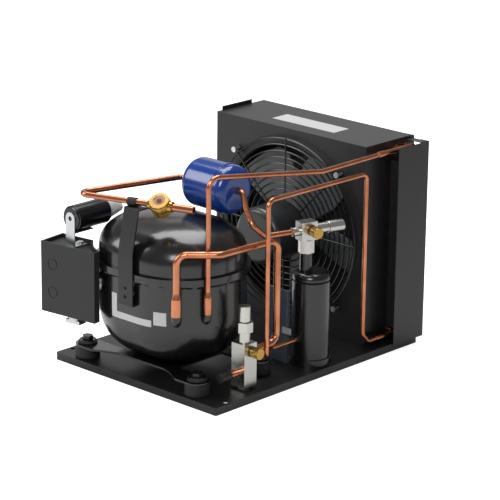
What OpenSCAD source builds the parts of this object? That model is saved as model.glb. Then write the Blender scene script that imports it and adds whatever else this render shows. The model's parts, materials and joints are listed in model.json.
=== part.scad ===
// Air-cooled condensing unit on a base tray: hermetic compressor with its electrical box,
// liquid receiver, filter drier, sight glass, service valves, copper lines, and a condenser
// coil in a shroud with a motor-driven fan behind a wire guard.
// Plan places are measured from the tray's low-X, low-Y corner; the origin is the middle of
// the tray's mounting holes, on the plane that the tray stands on.

/* [Base tray] */
// Length of the tray, along the air flow
base_l = 400; // [385:1:450]
// Width of the tray
base_w = 300; // [295:1:340]
// Height of the tray's turned-down rim
base_h = 10.5; // [9.5:0.5:14]
// Thickness of the tray's sheet
base_sheet = 1.5; // [1.2:0.1:2]
// Radius of the tray's corners
base_corner_r = 3; // [2.5:0.5:5]
// Diameter of the four mounting holes
base_hole_d = 7; // [5:0.5:8]
// Distance from the tray's ends to the mounting holes
base_hole_end_in = 25; // [15:1:35]
// Distance from the tray's long sides to the mounting holes
base_hole_side_in = 7; // [6.5:0.5:9]

/* [Compressor] */
// Distance from the tray's low-X end to the compressor's axis
comp_setback = 77.5; // [75:0.5:85]
// Distance of the compressor's axis past the tray's centre line
comp_shift = 5.5; // [3:0.5:8]
// Radius of the shell's two round ends
shell_r = 85; // [83:0.5:87]
// Straight stretch between the shell's round ends
shell_straight = 36; // [32:1:40]
// Height of the shell's lowest face over the floor
shell_bottom_z = 30; // [28:0.5:34]
// Height of the weld seam over the floor
seam_z = 160; // [156:1:166]
// Height of the dome's top over the floor
dome_z = 219; // [214:1:224]
// Wall of the shell
shell_wall = 3; // [2:0.1:4]
// How far the weld lip stands out
lip_out = 5; // [3:0.5:6]
// Height of the weld lip
lip_h = 9; // [6:0.5:12]
// Distance between the feet's holes across the tray
foot_pitch_y = 205; // [200:1:210]
// Distance between the feet's holes along the tray
foot_pitch_x = 115; // [110:1:120]
// Thickness of the foot plate
foot_t = 3; // [2:0.5:4]
// Diameter of the compressor's mounting bolts
stud_d = 8; // [6:0.5:9]
// Diameter of the rubber grommets
grommet_d = 33; // [28:1:36]

/* [Receiver and valves] */
// Distance from the tray's low-Y side to the receiver's axis
receiver_in = 32.5; // [30:0.5:34]
// Distance from the receiver's axis to the shroud's front
receiver_standoff = 94.5; // [90:0.5:100]
// Diameter of the receiver's tube
receiver_d = 51; // [46:1:52]
// Height of the receiver's shoulder over the floor
receiver_top_z = 139; // [130:1:145]
// Turn of the receiver valve about the receiver's axis
receiver_valve_turn = -17; // [-25:1:-10]
// Side of the suction valve's square body
valve_side = 23; // [20:0.5:25]
// Distance from the tray's low-X end to the suction valve's axis
valve_setback = 81; // [78:0.5:86]
// Distance from the tray's low-Y side to the suction valve's axis
valve_in = 28; // [26:0.5:30]

/* [Lines] */
// Outer diameter of the suction line
suction_d = 9.5; // [8:0.1:10]
// Outer diameter of the discharge line
discharge_d = 6.5; // [6:0.1:8]
// Outer diameter of the condenser's outlet line
outlet_d = 6.3; // [5.5:0.1:7]
// Outer diameter of the liquid line
liquid_d = 8; // [6.5:0.1:8.5]
// Outer diameter of the sight glass's open stub
open_stub_d = 9.8; // [8.6:0.1:11]
// Wall of the copper lines
tube_wall = 1; // [0.7:0.1:1.2]
// Diameter of the filter drier
drier_d = 66; // [60:1:68]
// Length of the filter drier
drier_l = 77; // [70:1:82]
// Height of the drier's axis over the floor
drier_z = 249; // [247:0.5:254]
// Diameter of the sight glass's body
sight_d = 26; // [22:0.5:28]

/* [Condenser and fan] */
// Distance from the tray's high-X end to the shroud's front
shroud_setback = 91; // [86:1:96]
// Depth of the shroud's top
shroud_depth = 96; // [94:1:100]
// Height of the shroud over the tray
shroud_h = 280.5; // [276:0.5:286]
// Distance from the tray's low-Y side to the shroud
shroud_in = 24; // [23:0.5:28]
// Thickness of the shroud's sheet
shroud_sheet = 1.2; // [0.8:0.1:1.5]
// Radius of the fan's opening
opening_r = 118; // [114:1:121]
// Radius of the fan over its blade tips
fan_r = 111; // [100:1:112]
// Number of fan blades
blade_count = 5; // [3:1:6]
// Pitch angle of the fan blades
blade_angle = 26; // [20:1:30]
// Radius of the guard's outer ring
guard_r = 127; // [124:1:129]
// Number of rings in the guard
guard_rings = 13; // [8:1:15]
// Number of radial wires in the guard
guard_spokes = 8; // [4:2:12]
// Diameter of the fan motor
motor_d = 80; // [70:1:86]
// Length of the fan motor
motor_l = 56; // [45:1:60]
// Depth of the coil's fins
coil_depth = 40; // [38:1:44]
// Number of tubes in each of the coil's two rows, an even number
tube_rows = 10; // [8:2:10]
// Outer diameter of the coil's tubes
coil_tube_d = 8; // [7:0.1:9]

/* [Electrical box] */
// Width of the electrical box
box_w = 91; // [85:1:96]
// Height of the electrical box
box_h = 97; // [92:1:102]
// Depth of the electrical box
box_d = 44; // [41:1:48]
// Wall of the electrical box
box_wall = 2.5; // [1.5:0.1:3]
// Diameter of the start capacitor
capacitor_d = 34; // [32:1:38]
// Length of the start capacitor
capacitor_l = 58; // [50:1:62]

/* [Hidden] */
$fn = 48;

// Clearances and the overrun of every cut
cut = 1;
seat_gap = 0.3;
run_gap = 0.05;
skin_gap = 0.6;

// Compressor mounting
comp_x = comp_setback;
comp_y = base_w/2 + comp_shift;
foot_z = shell_bottom_z - foot_t;
grommet_neck_r = stud_d*1.15;
grommet_collar_r = grommet_d*0.4;
grommet_collar_h = 3.5;
sleeve_wall = 1.5;
washer_t = 1.6;
bolt_head_h = stud_d*0.65;
bolt_head_flats = stud_d*1.625;
nut_h = 6;
foot_arm_w = grommet_d;
foot_scoop_r = 150;
foot_scoop_in = 22;
sleeve_top_z = foot_z + foot_t + grommet_collar_h;
foot_places = [for (i = [-1, 1], j = [-1, 1])
    [comp_x + i*foot_pitch_x/2, comp_y + j*foot_pitch_y/2]];

// Shell profile: the wall turns in as a power curve over the dome and the bowl
dome_power = 2.3;
bowl_power = 2.4;
curve_steps = 16;
dome_wall_h = 12;
bowl_wall_h = 55;
lip_slope = lip_out;
bowl_flat_share = 0.16;

// Stubs of the shell
shell_end_y = comp_y - shell_straight/2;
suction_angle = 220.2;
discharge_angle = 244.95;
stub_clear = 8;
stub_circle_r = shell_r + lip_out + stub_clear;
discharge_set_in = 3.3;
discharge_circle_r = stub_circle_r - discharge_set_in;
suction_stub_at = [comp_x + stub_circle_r*cos(suction_angle),
    shell_end_y + stub_circle_r*sin(suction_angle)];
discharge_stub_at = [comp_x + discharge_circle_r*cos(discharge_angle),
    shell_end_y + discharge_circle_r*sin(discharge_angle)];
stub_low_z = 104;
stub_bend_r = 8;
stub_top_z = 115;
stub_wall = 1.4;
swage_l = 23;
suction_swage_out = 2;
discharge_swage_out = 1.2;

// Pump and motor inside the shell
stator_r = 55;
stator_bore_r = 28;
stator_z = 70;
stator_h = 40;
winding_r = 42;
winding_h = 11;
rotor_gap = 0.5;
shaft_r = 9;
shaft_low_z = 50;
rotor_skin = 2;
block_z = 124;
block_t = 6;
block_r = 58;
block_post_r = 2.6;
hub_r = 15;
crank_throw = 8;
crank_pin_r = 6.5;
crank_web_r = 17;
crank_web_h = 6;
crank_pin_h = 6;
rod_t = 9;
rod_l = 46;
rod_w = 9;
rod_big_r = 11;
rod_small_r = 6.5;
pin_r = 4;
piston_r = 15;
piston_l = 24;
piston_skirt = 3;
piston_crown = 5;
barrel_side = 42;
barrel_l = 38;
head_t = 12;
spring_r = 5.4;
spring_wall = 1.6;
spring_circle_r = 49;
pin_top_z = block_z + block_t + run_gap + crank_web_h + crank_pin_h;
rod_z = pin_top_z + seat_gap;
cylinder_z = rod_z + rod_t/2;
pin_y = comp_y + rod_l + crank_throw;
piston_y = pin_y - piston_l/2;
barrel_y = piston_y - crank_throw;
head_y = barrel_y + barrel_l;

// Electrical box on the shell's side
box_turn = 7;
box_z = 79;
box_clear = 2;
box_face_gap = 7.5;
box_x = comp_x - shell_r - lip_out - box_face_gap;
box_side_out = 28.5;
box_y = comp_y + shell_straight/2 + box_side_out;
box_recess = 5;
knockout_r = 8;
knockout_groove = 1.2;
knockout_sink = 0.6;
knockout_far_in = 20;
knockout_low = 29;
knockout_pitch = 39;
clamp_r = 9;
clamp_bore_r = 5;
clamp_h = 12;
clamp_bar_h = 5;
clamp_bar_w = 14;
clamp_bar_over = 3;
clamp_back_in = 16;
clamp_side_in = 46;
terminal_z = 126;
terminal_angle = 145;
terminal_r = 13;
terminal_h = 4;
terminal_pin_r = 1.6;
terminal_pin_l = 8;
terminal_pin_circle = 6;
relay_size = [14, 26, 30];
relay_side_in = 58;
relay_low = 30;
overload_r = 12;
overload_h = 8;
overload_side_in = 26;
overload_low = 74;

// Start capacitor over the box, on a zinc strap
box_top_z = box_z + box_h - box_recess;
capacitor_in = 9.5;
capacitor_x = box_x + capacitor_in;
capacitor_side_in = 54;
capacitor_y = box_y + capacitor_side_in;
capacitor_lift = 16;
capacitor_z = box_z + box_h + capacitor_lift + capacitor_d/2;
capacitor_rim = 2;
strap_t = 1.5;
strap_w = 17;
strap_hole_r = 3.2;
strap_top_over = 9;
strap_foot_l = 24;
strap_cradle_l = 34;
boot_l = 30;
boot_r = 14;
boot_tip_r = 7;
boot_wall = 1.5;

// Screws that hold the sheet pieces
screw_r = 2;
screw_head_r = 4.2;
screw_head_h = 2.4;
screw_l = 7;

// Sight glass, its bracket and clip, on the line that ends in the open stub
open_line_z = 250;
open_line_turn = 18;
clip_back = 71.6;
clip_x = comp_x - clip_back;
clip_side = 1.5;
clip_y = comp_y + clip_side;
clip_t = 1.6;
clip_w = 12;
clip_tab = 14;
glass_bracket_w = 26;
glass_bracket_t = 2;
glass_bracket_low_z = 116;
glass_bracket_knee_z = 186;
glass_bracket_lean = 11;
glass_flange_l = 17;
glass_hole_r = 2.5;
glass_hole_pitch = 12;
glass_bracket_side = 6;
glass_bracket_y = comp_y - glass_bracket_side;
glass_bracket_top_z = open_line_z - liquid_d/2 - run_gap - clip_t;
far_reach = 84;
sight_reach = 41;
open_reach = 88;
sight_neck_l = 17;
sight_neck_r = 7;
sight_tilt = 35;
sight_h = 20;
sight_window_r = 8.5;
sight_window_t = 3;
sight_rim = 1;
sight_ledge = 1.5;
sight_socket = 8;

// Filter drier
drier_ahead = 62.5;
drier_x = comp_x + drier_ahead;
drier_front_out = 57;
drier_front_y = comp_y - drier_front_out;
drier_round = 12;
drier_wall = 2;
drier_stub_l = 14;
drier_front_stub_l = 1;
drier_stub_r = 5;
liquid_socket = 9;
liquid_lead = 8;
drier_core_gap = 0.8;
drier_seam_back = 18;
drier_seam_out = 1;
drier_seam_w = 3;

// Condenser shroud, coil and side cover
shroud_x = base_l - shroud_setback;
shroud_side_in = 1;
shroud_y1 = base_w - shroud_side_in;
shroud_z1 = base_h + shroud_h;
shroud_side_l = 36;
shroud_lip = 5.5;
shroud_lip_l = 60;
shroud_lip_in = 10;
shroud_screw_in = 7;
orifice_l = 12;
fan_y = (shroud_in + shroud_y1)/2;
shroud_screw_side = 12;
shroud_screw_y = [shroud_in + shroud_screw_side, shroud_y1 - shroud_screw_side];
fan_z = (base_h + shroud_z1)/2;
coil_back = 50;
coil_x = shroud_x + coil_back;
coil_margin = 3;
row_in = 10;
tube_low = 10.5;
tube_pitch = (shroud_h - 2*tube_low)/(tube_rows - 1);
tube_low_z = base_h + tube_low;
tube_top_z = tube_low_z + (tube_rows - 1)*tube_pitch;
bend_reach = tube_pitch/2 + coil_tube_d/2;
sheet_t = 1.2;
tube_out = 3.5;
left_sheet_y = shroud_y1 - shroud_sheet - seat_gap - bend_reach - tube_out - sheet_t;
sheet_flange = 12;
fin_depth = 5;
fin_t = 1.4;
fin_pitch = 6;
row_x = [coil_x + row_in, coil_x + coil_depth - row_in];
cover_t = 1.2;
cover_lead = 11;
cover_x = coil_x - cover_lead;
cover_over = 6;
cover_x1 = shroud_x + shroud_depth + cover_over;
cover_drop = 3;
cover_low_z = base_h - cover_drop;
cover_top_drop = 5;
cover_top_z = shroud_z1 - cover_top_drop;
cover_flange = 15;
cover_tab_in = 18;
cover_tab_x = cover_x1 - cover_tab_in;
cover_tab_l = 12;
sheet_x = shroud_x + shroud_side_l + seat_gap;
sheet_x1 = cover_x1 - cover_t - seat_gap;
header_clear = 12;
header_y = shroud_in - header_clear;

// Fan, motor and guard
wire = 1.8;
guard_lift = 9;
guard_x = shroud_x - guard_lift;
guard_hole_r = 20;
guard_foot_w = 11;
guard_foot_out = 7;
guard_foot_r = guard_r + guard_foot_out;
guard_foot_over = 5.5;
guard_pitch = (guard_r - guard_hole_r)/(guard_rings - 1);
motor_x1 = guard_x - seat_gap;
motor_x = motor_x1 - motor_l;
motor_round = 8;
motor_wall = 6;
motor_cavity_r = 20;
motor_shaft_r = 3;
fan_hub_r = 17;
fan_hub_l = 20;
blade_t = 1.6;
blade_chord = 66;
fan_back = 23;
fan_x = shroud_x + fan_back;
shaft_tip_x = fan_x + fan_hub_l/2 + cut;
blade_shares = [[0.13, -0.18], [0.45, -0.46], [0.8, -0.62], [1.05, -0.58], [1.05, 0.3],
    [0.85, 0.46], [0.5, 0.42], [0.13, 0.18]];

// Receiver and its rotalock valve
receiver_x = shroud_x - receiver_standoff;
receiver_cap_out = 2;
receiver_cap_h = 10;
receiver_wall = 2.5;
receiver_round = 8;
receiver_boss_r = 8.5;
receiver_boss_h = 25;
receiver_boss_back = 5.8;
receiver_boss_side = 5.4;
receiver_crease = 11;
receiver_crease_in = 2;
dip_r = 4;
dip_lift = 12;
inlet_z = 49;
inlet_l = 5;
inlet_r = 5;
union_nut_flats = 19;
union_nut_h = 18;
valve_block = [24, 17, 25];
valve_port_l = 10;
valve_neck_in_r = 6.5;
passage_r = 2.2;
valve_port_r = 6;
port_r = 5;
port_l = 8;
port_cap_r = 7.5;
port_cap_l = 12;
port_cap_back = 2;
port_shift = 5;
stem_r = 3;
stem_flats = 4.5;
stem_start = 6;
cap_nose = 5;
stem_tip = 8;
stem_house_r = 7;
stem_house_l = 20;
stem_cap_r = 8;
stem_cap_l = 23;
cap_wall = 2;
boss_top_z = receiver_top_z + receiver_boss_h;
receiver_boss_at = [receiver_x - receiver_boss_back, receiver_in + receiver_boss_side];
receiver_valve_z = boss_top_z + union_nut_h;
receiver_port_z = receiver_valve_z + valve_block[2]/2;

// Galvanised upright behind the lines
upright_back = 28;
upright_x = receiver_x - upright_back;
upright_side = 17.5;
upright_y = receiver_in + upright_side;
upright_w = 39;
upright_low_w = 26;
upright_taper_h = 47;
upright_h = 102;
upright_t = 1.5;
upright_flange = 6;
upright_foot = 18;
upright_foot_in = 9;

// Suction service valve
valve_foot_h = 4;
valve_foot_r = 8;
valve_body_top_z = 73;
valve_neck_r = 8;
valve_neck_h = 14;
gland_flats = 20;
gland_h = 14;
valve_cap_l = 21;
valve_cap_r = 8;
valve_tube_z = 58;
stem_low_z = 66;
suction_port_shift = 4;
valve_out_z = 34;
valve_out_l = 32;
valve_out_d = 10;
socket_depth = 6;
suction_port_z = 61;
plug_l = 18;
plug_wall = 2;
gland_z = valve_body_top_z + valve_neck_h;
valve_cap_z = gland_z + gland_h;

// Routes of the lines
tube_bend_r = 14;
bend_swell = 0.05;
bend_lap = 0.2;
liquid_bend_r = 10;
drier_line_bend_r = 9;
outlet_bend_r = 9;
discharge_top_z = 296;
discharge_kink_back = 102;
discharge_kink_x = shroud_x - discharge_kink_back;
discharge_kink_drop = 1;
discharge_kink_z = tube_top_z - discharge_kink_drop;
discharge_joint_ahead = 16;
discharge_joint_x = shroud_x + discharge_joint_ahead;
outlet_riser_back = 14;
outlet_riser_x = shroud_x - outlet_riser_back;
outlet_riser_out = 2;
outlet_riser_y = header_y - outlet_riser_out;
outlet_top_z = 260;
outlet_drop_back = 107.5;
outlet_drop_x = receiver_x - outlet_drop_back;
outlet_drop_side = 1;
outlet_drop_y = header_y + outlet_drop_side;
outlet_lead = 14;
suction_top_z = 197;
suction_knee_back = 35.4;
suction_knee_x = comp_x - suction_knee_back;
suction_knee_side = 7;
suction_knee_y = valve_in + suction_knee_side;
suction_drop_ahead = 61;
suction_drop_x = valve_setback + suction_drop_ahead;
drier_line_out = 63;
drier_line_in = 11;
drier_line_low = 38;
drier_line_drop = 37;
drier_knee_in = 7;
drier_knee_low = 23;
drier_knee_drop = 21;
outlet_run = 30;
joint_l = 12;
joint_out = 1;
header_out = 0.4;

// Geometry helpers

function unit(v) = v/norm(v);

function curve(low_r, r, low_z, z, power) = [for (i = [0:curve_steps])
    let (s = i/curve_steps, a = 90*s)
    [low_r + (r - low_r)*pow(sin(a), 2/power), low_z + (z - low_z)*(1 - pow(cos(a), 2/power))]];

function reversed(list) = [for (i = [len(list) - 1:-1:0]) list[i]];

module on_base() {
    translate([-base_l/2, -base_w/2, 0]) children();
}

module rounded_block(l, w, r, h) {
    linear_extrude(h) {
        translate([r, 0]) square([l - 2*r, w]);
        translate([0, r]) square([l, w - 2*r]);
        for (x = [r, l - r], y = [r, w - r]) translate([x, y]) circle(r);
    }
}

// A hexagon bar measured across its flats
module hex_bar(flats, h) {
    cylinder(r = flats/2/cos(30), h = h, $fn = 6);
}

// Children drawn along +Z are laid from point a towards point b
module aimed(a, b) {
    d = b - a;
    translate(a) rotate([0, acos(d[2]/norm(d)), atan2(d[1], d[0])]) children();
}

module ring_bar(r, bore_r, h) {
    difference() {
        cylinder(r = r, h = h);
        translate([0, 0, -cut]) cylinder(r = bore_r, h = h + 2*cut);
    }
}

// The turn of a tube at a corner between directions u and v, swelled a little over its bars
module elbow(corner, u, v, bend_r, r, bore_r) {
    angle = acos(u*v);
    n = unit(v - u*(u*v));
    axis = cross(-n, u);
    tilt = acos(axis[2]);
    turn = atan2(axis[1], axis[0]);
    side = [cos(tilt)*cos(turn), cos(tilt)*sin(turn), -sin(tilt)];
    up = [-sin(turn), cos(turn), 0];
    translate(corner - u*(bend_r*tan(angle/2)) + n*bend_r) rotate([0, tilt, turn])
        rotate(atan2(-n*up, -n*side)) rotate_extrude(angle = angle) translate([bend_r, 0])
            difference() {
                circle(r + bend_swell);
                circle(bore_r - bend_swell);
            }
}

// A bent tube through the route's corners
module bent_tube(route, r, bore_r, bend_r) {
    last = len(route) - 1;
    for (i = [0:last - 1]) {
        a = route[i];
        b = route[i + 1];
        u = unit(b - a);
        start = i == 0 ? 0 : bend_r*tan(acos(unit(a - route[i - 1])*u)/2);
        stop = i == last - 1 ? 0 : bend_r*tan(acos(unit(route[i + 2] - b)*u)/2);
        low = i == 0 ? 0 : start - bend_lap;
        high = i == last - 1 ? norm(b - a) : norm(b - a) - stop + bend_lap;
        aimed(a + u*low, b) ring_bar(r, bore_r, high - low);
        if (i < last - 1) elbow(b, u, unit(route[i + 2] - b), bend_r, r, bore_r);
    }
}

// A closed wall profile turned round both ends of the oval shell
module oval_wall(outer, inner) {
    half = concat(outer, reversed(inner));
    whole = concat(half, [for (i = [len(half) - 2:-1:1]) [-half[i][0], half[i][1]]]);
    translate([0, shell_straight/2, 0]) rotate_extrude(angle = 180) polygon(half);
    translate([0, -shell_straight/2, 0]) rotate(180) rotate_extrude(angle = 180) polygon(half);
    translate([0, shell_straight/2, 0]) rotate([90, 0, 0]) linear_extrude(shell_straight)
        polygon(whole);
}

module oval_prism(r, straight, h) {
    linear_extrude(h) {
        square([2*r, straight], center = true);
        for (s = [-1, 1]) translate([0, s*straight/2]) circle(r);
    }
}

// Base and mounting

module base_tray() {
    color("#202022") on_base() difference() {
        rounded_block(base_l, base_w, base_corner_r, base_h);
        translate([base_sheet, base_sheet, -cut])
            rounded_block(base_l - 2*base_sheet, base_w - 2*base_sheet,
                base_corner_r - base_sheet/2, base_h - base_sheet + cut);
        for (x = [base_hole_end_in, base_l - base_hole_end_in],
            y = [base_hole_side_in, base_w - base_hole_side_in])
            translate([x, y, 0]) cylinder(d = base_hole_d, h = base_h + cut);
        for (p = foot_places) translate(p) cylinder(d = stud_d + seat_gap, h = base_h + cut);
        for (y = shroud_screw_y) translate([shroud_x + shroud_screw_in, y, 0])
            cylinder(r = screw_r + run_gap, h = base_h + cut);
    }
}

module compressor_grommets() {
    color("#1b1b1b") on_base() for (p = foot_places) translate([p[0], p[1], base_h])
        difference() {
            union() {
                cylinder(d = grommet_d, h = foot_z - base_h);
                cylinder(r = grommet_neck_r, h = foot_z + foot_t + grommet_collar_h - base_h);
                translate([0, 0, foot_z + foot_t - base_h])
                    cylinder(r = grommet_collar_r, h = grommet_collar_h);
            }
            translate([0, 0, -cut])
                cylinder(r = stud_d/2 + sleeve_wall + run_gap, h = sleeve_top_z + cut);
        }
}

module grommet_sleeves() {
    color("#b9bcc0") on_base() for (p = foot_places) translate([p[0], p[1], base_h])
        ring_bar(stud_d/2 + sleeve_wall, stud_d/2 + seat_gap, sleeve_top_z - base_h);
}

module compressor_bolts() {
    color("#2c2c2e") on_base() for (p = foot_places) translate([p[0], p[1], 0]) {
        translate([0, 0, sleeve_top_z]) ring_bar(grommet_collar_r*0.85, stud_d/2 + run_gap, washer_t);
        translate([0, 0, sleeve_top_z + washer_t]) hex_bar(bolt_head_flats, bolt_head_h);
        translate([0, 0, base_h - base_sheet - nut_h])
            cylinder(d = stud_d, h = sleeve_top_z + washer_t - base_h + base_sheet + nut_h);
        translate([0, 0, base_h - base_sheet - nut_h]) difference() {
            hex_bar(bolt_head_flats, nut_h);
            translate([0, 0, -cut]) cylinder(r = stud_d/2 + run_gap, h = nut_h + 2*cut);
        }
    }
}

// Compressor shell

lower_outer = concat([[0, shell_bottom_z]],
    curve(shell_r*bowl_flat_share, shell_r, shell_bottom_z, seam_z - bowl_wall_h, bowl_power),
    [[shell_r, seam_z - lip_h - lip_slope], [shell_r + lip_out, seam_z - lip_h],
        [shell_r + lip_out, seam_z]]);
lower_inner = concat([[0, shell_bottom_z + shell_wall]],
    curve(shell_r*bowl_flat_share, shell_r - shell_wall, shell_bottom_z + shell_wall,
        seam_z - bowl_wall_h, bowl_power), [[shell_r - shell_wall, seam_z]]);
upper_outer = concat([for (p = curve(0, shell_r, 0, 1, dome_power))
    [p[0], dome_z - p[1]*(dome_z - seam_z - dome_wall_h)]], [[shell_r, seam_z]]);
upper_inner = concat([for (p = curve(0, shell_r - shell_wall, 0, 1, dome_power))
        [p[0], dome_z - shell_wall - p[1]*(dome_z - shell_wall - seam_z - dome_wall_h)]],
    [[shell_r - shell_wall, seam_z]]);

module at_compressor(z) {
    on_base() translate([comp_x, comp_y, z]) children();
}

module compressor_lower_shell() {
    color("#18181a") at_compressor(0) oval_wall(lower_outer, lower_inner);
}

module compressor_upper_shell() {
    color("#18181a") at_compressor(0) oval_wall(upper_outer, upper_inner);
}

module compressor_feet() {
    color("#1c1c1e") on_base() translate([0, 0, foot_z]) difference() {
        linear_extrude(foot_t) {
            for (i = [-1, 1]) translate([comp_x + i*foot_pitch_x/2, comp_y]) {
                difference() {
                    square([foot_arm_w, foot_pitch_y], center = true);
                    translate([i*(foot_arm_w/2 + foot_scoop_r - foot_scoop_in), 0])
                        circle(foot_scoop_r);
                }
                for (j = [-1, 1]) translate([0, j*foot_pitch_y/2]) circle(d = foot_arm_w);
            }
            translate([comp_x, comp_y]) square([foot_pitch_x, foot_pitch_y/2], center = true);
        }
        for (p = foot_places) translate([p[0], p[1], -cut])
            cylinder(r = grommet_neck_r + seat_gap, h = foot_t + 2*cut);
    }
}

// A black steel stub that leaves the shell's wall and turns up
module shell_stub(at, d) {
    out = unit(at - [comp_x, shell_end_y]);
    low = [at[0], at[1], stub_low_z];
    reach = stub_circle_r - shell_r + shell_wall;
    difference() {
        bent_tube([low - reach*[out[0], out[1], 0], low, [at[0], at[1], stub_top_z]],
            d/2 + stub_wall, d/2 - tube_wall, stub_bend_r);
        translate([comp_x, comp_y, shell_bottom_z])
            oval_prism(shell_r, shell_straight, seam_z - shell_bottom_z);
    }
}

module suction_stub() {
    color("#141416") on_base() shell_stub(suction_stub_at, suction_d);
}

module discharge_stub() {
    color("#141416") on_base() shell_stub(discharge_stub_at, discharge_d);
}

// Motor and pump inside the shell

module stator_core() {
    color("#6d7076") at_compressor(stator_z) ring_bar(stator_r, stator_bore_r, stator_h);
}

module stator_windings() {
    color("#a8552b") for (z = [stator_z - winding_h, stator_z + stator_h])
        at_compressor(z) ring_bar(winding_r, stator_bore_r + rotor_skin, winding_h);
}

module compressor_rotor() {
    color("#8e9196") at_compressor(stator_z)
        ring_bar(stator_bore_r - rotor_gap, shaft_r + run_gap, stator_h);
}

module crankshaft() {
    web_z = block_z + block_t + run_gap;
    color("#9a9da2") at_compressor(0) {
        translate([0, 0, shaft_low_z]) cylinder(r = shaft_r, h = web_z - shaft_low_z);
        translate([0, 0, web_z]) cylinder(r = crank_web_r, h = crank_web_h);
        translate([0, crank_throw, web_z + crank_web_h]) cylinder(r = crank_pin_r, h = crank_pin_h);
    }
}

module cylinder_block() {
    barrel_z = cylinder_z - barrel_side/2;
    color("#77797d") at_compressor(0) difference() {
        union() {
            translate([0, 0, block_z]) cylinder(r = block_r, h = block_t);
            translate([0, 0, stator_z + stator_h + seat_gap])
                cylinder(r = hub_r, h = block_z - stator_z - stator_h);
            for (a = [45:90:315]) rotate(a)
                translate([stator_r - block_post_r - seat_gap, 0, stator_z + stator_h])
                    cylinder(r = block_post_r, h = block_z - stator_z - stator_h + cut);
            translate([-barrel_side/2, barrel_y - comp_y, block_z])
                cube([barrel_side, barrel_l, cylinder_z + barrel_side/2 - block_z]);
        }
        translate([0, 0, stator_z]) cylinder(r = shaft_r + run_gap, h = block_z);
        translate([0, barrel_y - comp_y - cut, cylinder_z]) rotate([-90, 0, 0])
            cylinder(r = piston_r + run_gap, h = barrel_l + 2*cut);
    }
}

module cylinder_head() {
    color("#6a6c70") at_compressor(cylinder_z)
        translate([-barrel_side/2, head_y - comp_y, -barrel_side/2 + block_t])
            cube([barrel_side, head_t, barrel_side - block_t]);
}

module piston() {
    color("#b4b7bb") on_base() {
        translate([comp_x, piston_y, cylinder_z]) rotate([-90, 0, 0]) difference() {
            cylinder(r = piston_r, h = piston_l);
            translate([0, 0, -cut])
                cylinder(r = piston_r - piston_skirt, h = piston_l - piston_crown + cut);
        }
        translate([comp_x, pin_y, cylinder_z - piston_r + piston_skirt/2])
            cylinder(r = pin_r - run_gap, h = 2*piston_r - piston_skirt);
    }
}

module connecting_rod() {
    color("#a7aaae") on_base() translate([comp_x, pin_y, rod_z]) difference() {
        union() {
            cylinder(r = rod_small_r, h = rod_t);
            translate([0, -rod_l, 0]) cylinder(r = rod_big_r, h = rod_t);
            translate([-rod_w/2, -rod_l, 0]) cube([rod_w, rod_l, rod_t]);
        }
        translate([0, -rod_l, -cut]) cylinder(r = crank_pin_r + run_gap, h = rod_t + 2*cut);
        translate([0, 0, -cut]) cylinder(r = pin_r, h = rod_t + 2*cut);
    }
}

module suspension_springs() {
    reach = spring_circle_r + spring_r - shell_straight/2*sin(45);
    share = reach/(shell_r - shell_wall);
    low_z = seam_z - bowl_wall_h - (seam_z - bowl_wall_h - shell_bottom_z - shell_wall)
        *pow(1 - pow(share, bowl_power), 1/bowl_power);
    color("#9fa3a8") at_compressor(low_z + skin_gap) for (a = [45:90:315]) rotate(a)
        translate([spring_circle_r, 0, 0])
            ring_bar(spring_r, spring_r - spring_wall, stator_z - low_z - skin_gap);
}

// Electrical box and start gear

module in_box() {
    on_base() translate([box_x, box_y, box_z]) rotate(box_turn) children();
}

// The room that the box leaves round the shell's belt
module shell_room(gap) {
    at_compressor(box_z - cut)
        oval_prism(shell_r + lip_out + gap, shell_straight, box_h + 2*cut);
}

module at_terminal() {
    at_compressor(terminal_z) translate([0, shell_straight/2, 0]) rotate(terminal_angle)
        rotate([0, 90, 0]) children();
}

module terminal_block() {
    reach = shell_r + lip_out + box_clear + box_wall + terminal_h;
    color("#8a8d92") {
        difference() {
            at_terminal() cylinder(r = terminal_r, h = reach);
            at_compressor(terminal_z - terminal_r - cut)
                oval_prism(shell_r, shell_straight, 2*(terminal_r + cut));
        }
        at_terminal() for (a = [0:120:240]) rotate(a)
            translate([terminal_pin_circle, 0, reach])
                cylinder(r = terminal_pin_r, h = terminal_pin_l);
    }
}

module box_inside(low, h) {
    difference() {
        in_box() translate([box_wall, box_wall, low])
            cube([box_d - 2*box_wall, box_w - 2*box_wall, h]);
        shell_room(box_clear + box_wall);
    }
}

module electrical_box() {
    color("#3a3b3d") difference() {
        in_box() cube([box_d, box_w, box_h]);
        shell_room(box_clear);
        box_inside(box_wall, box_h - 2*box_wall - box_recess);
        box_inside(box_h - box_recess, box_recess + cut);
        in_box() for (i = [0, 1])
            translate([-cut, box_w - knockout_far_in, knockout_low + i*knockout_pitch])
                rotate([0, 90, 0]) ring_bar(knockout_r, knockout_r - knockout_groove,
                    knockout_sink + cut);
        in_box() translate([clamp_back_in, clamp_side_in, -cut])
            cylinder(r = clamp_bore_r, h = box_wall + 2*cut);
        at_terminal() cylinder(r = terminal_r + run_gap,
            h = shell_r + lip_out + box_clear + box_wall + terminal_h);
        on_base() strap_screw_place() cylinder(r = screw_r + run_gap, h = screw_l + cut);
    }
}

module start_relay() {
    color("#2b2c2e") in_box() translate([box_wall, relay_side_in, relay_low]) cube(relay_size);
}

module overload_protector() {
    color("#1d1d1f") in_box() translate([box_wall, overload_side_in, overload_low])
        rotate([0, 90, 0]) cylinder(r = overload_r, h = overload_h);
}

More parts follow.
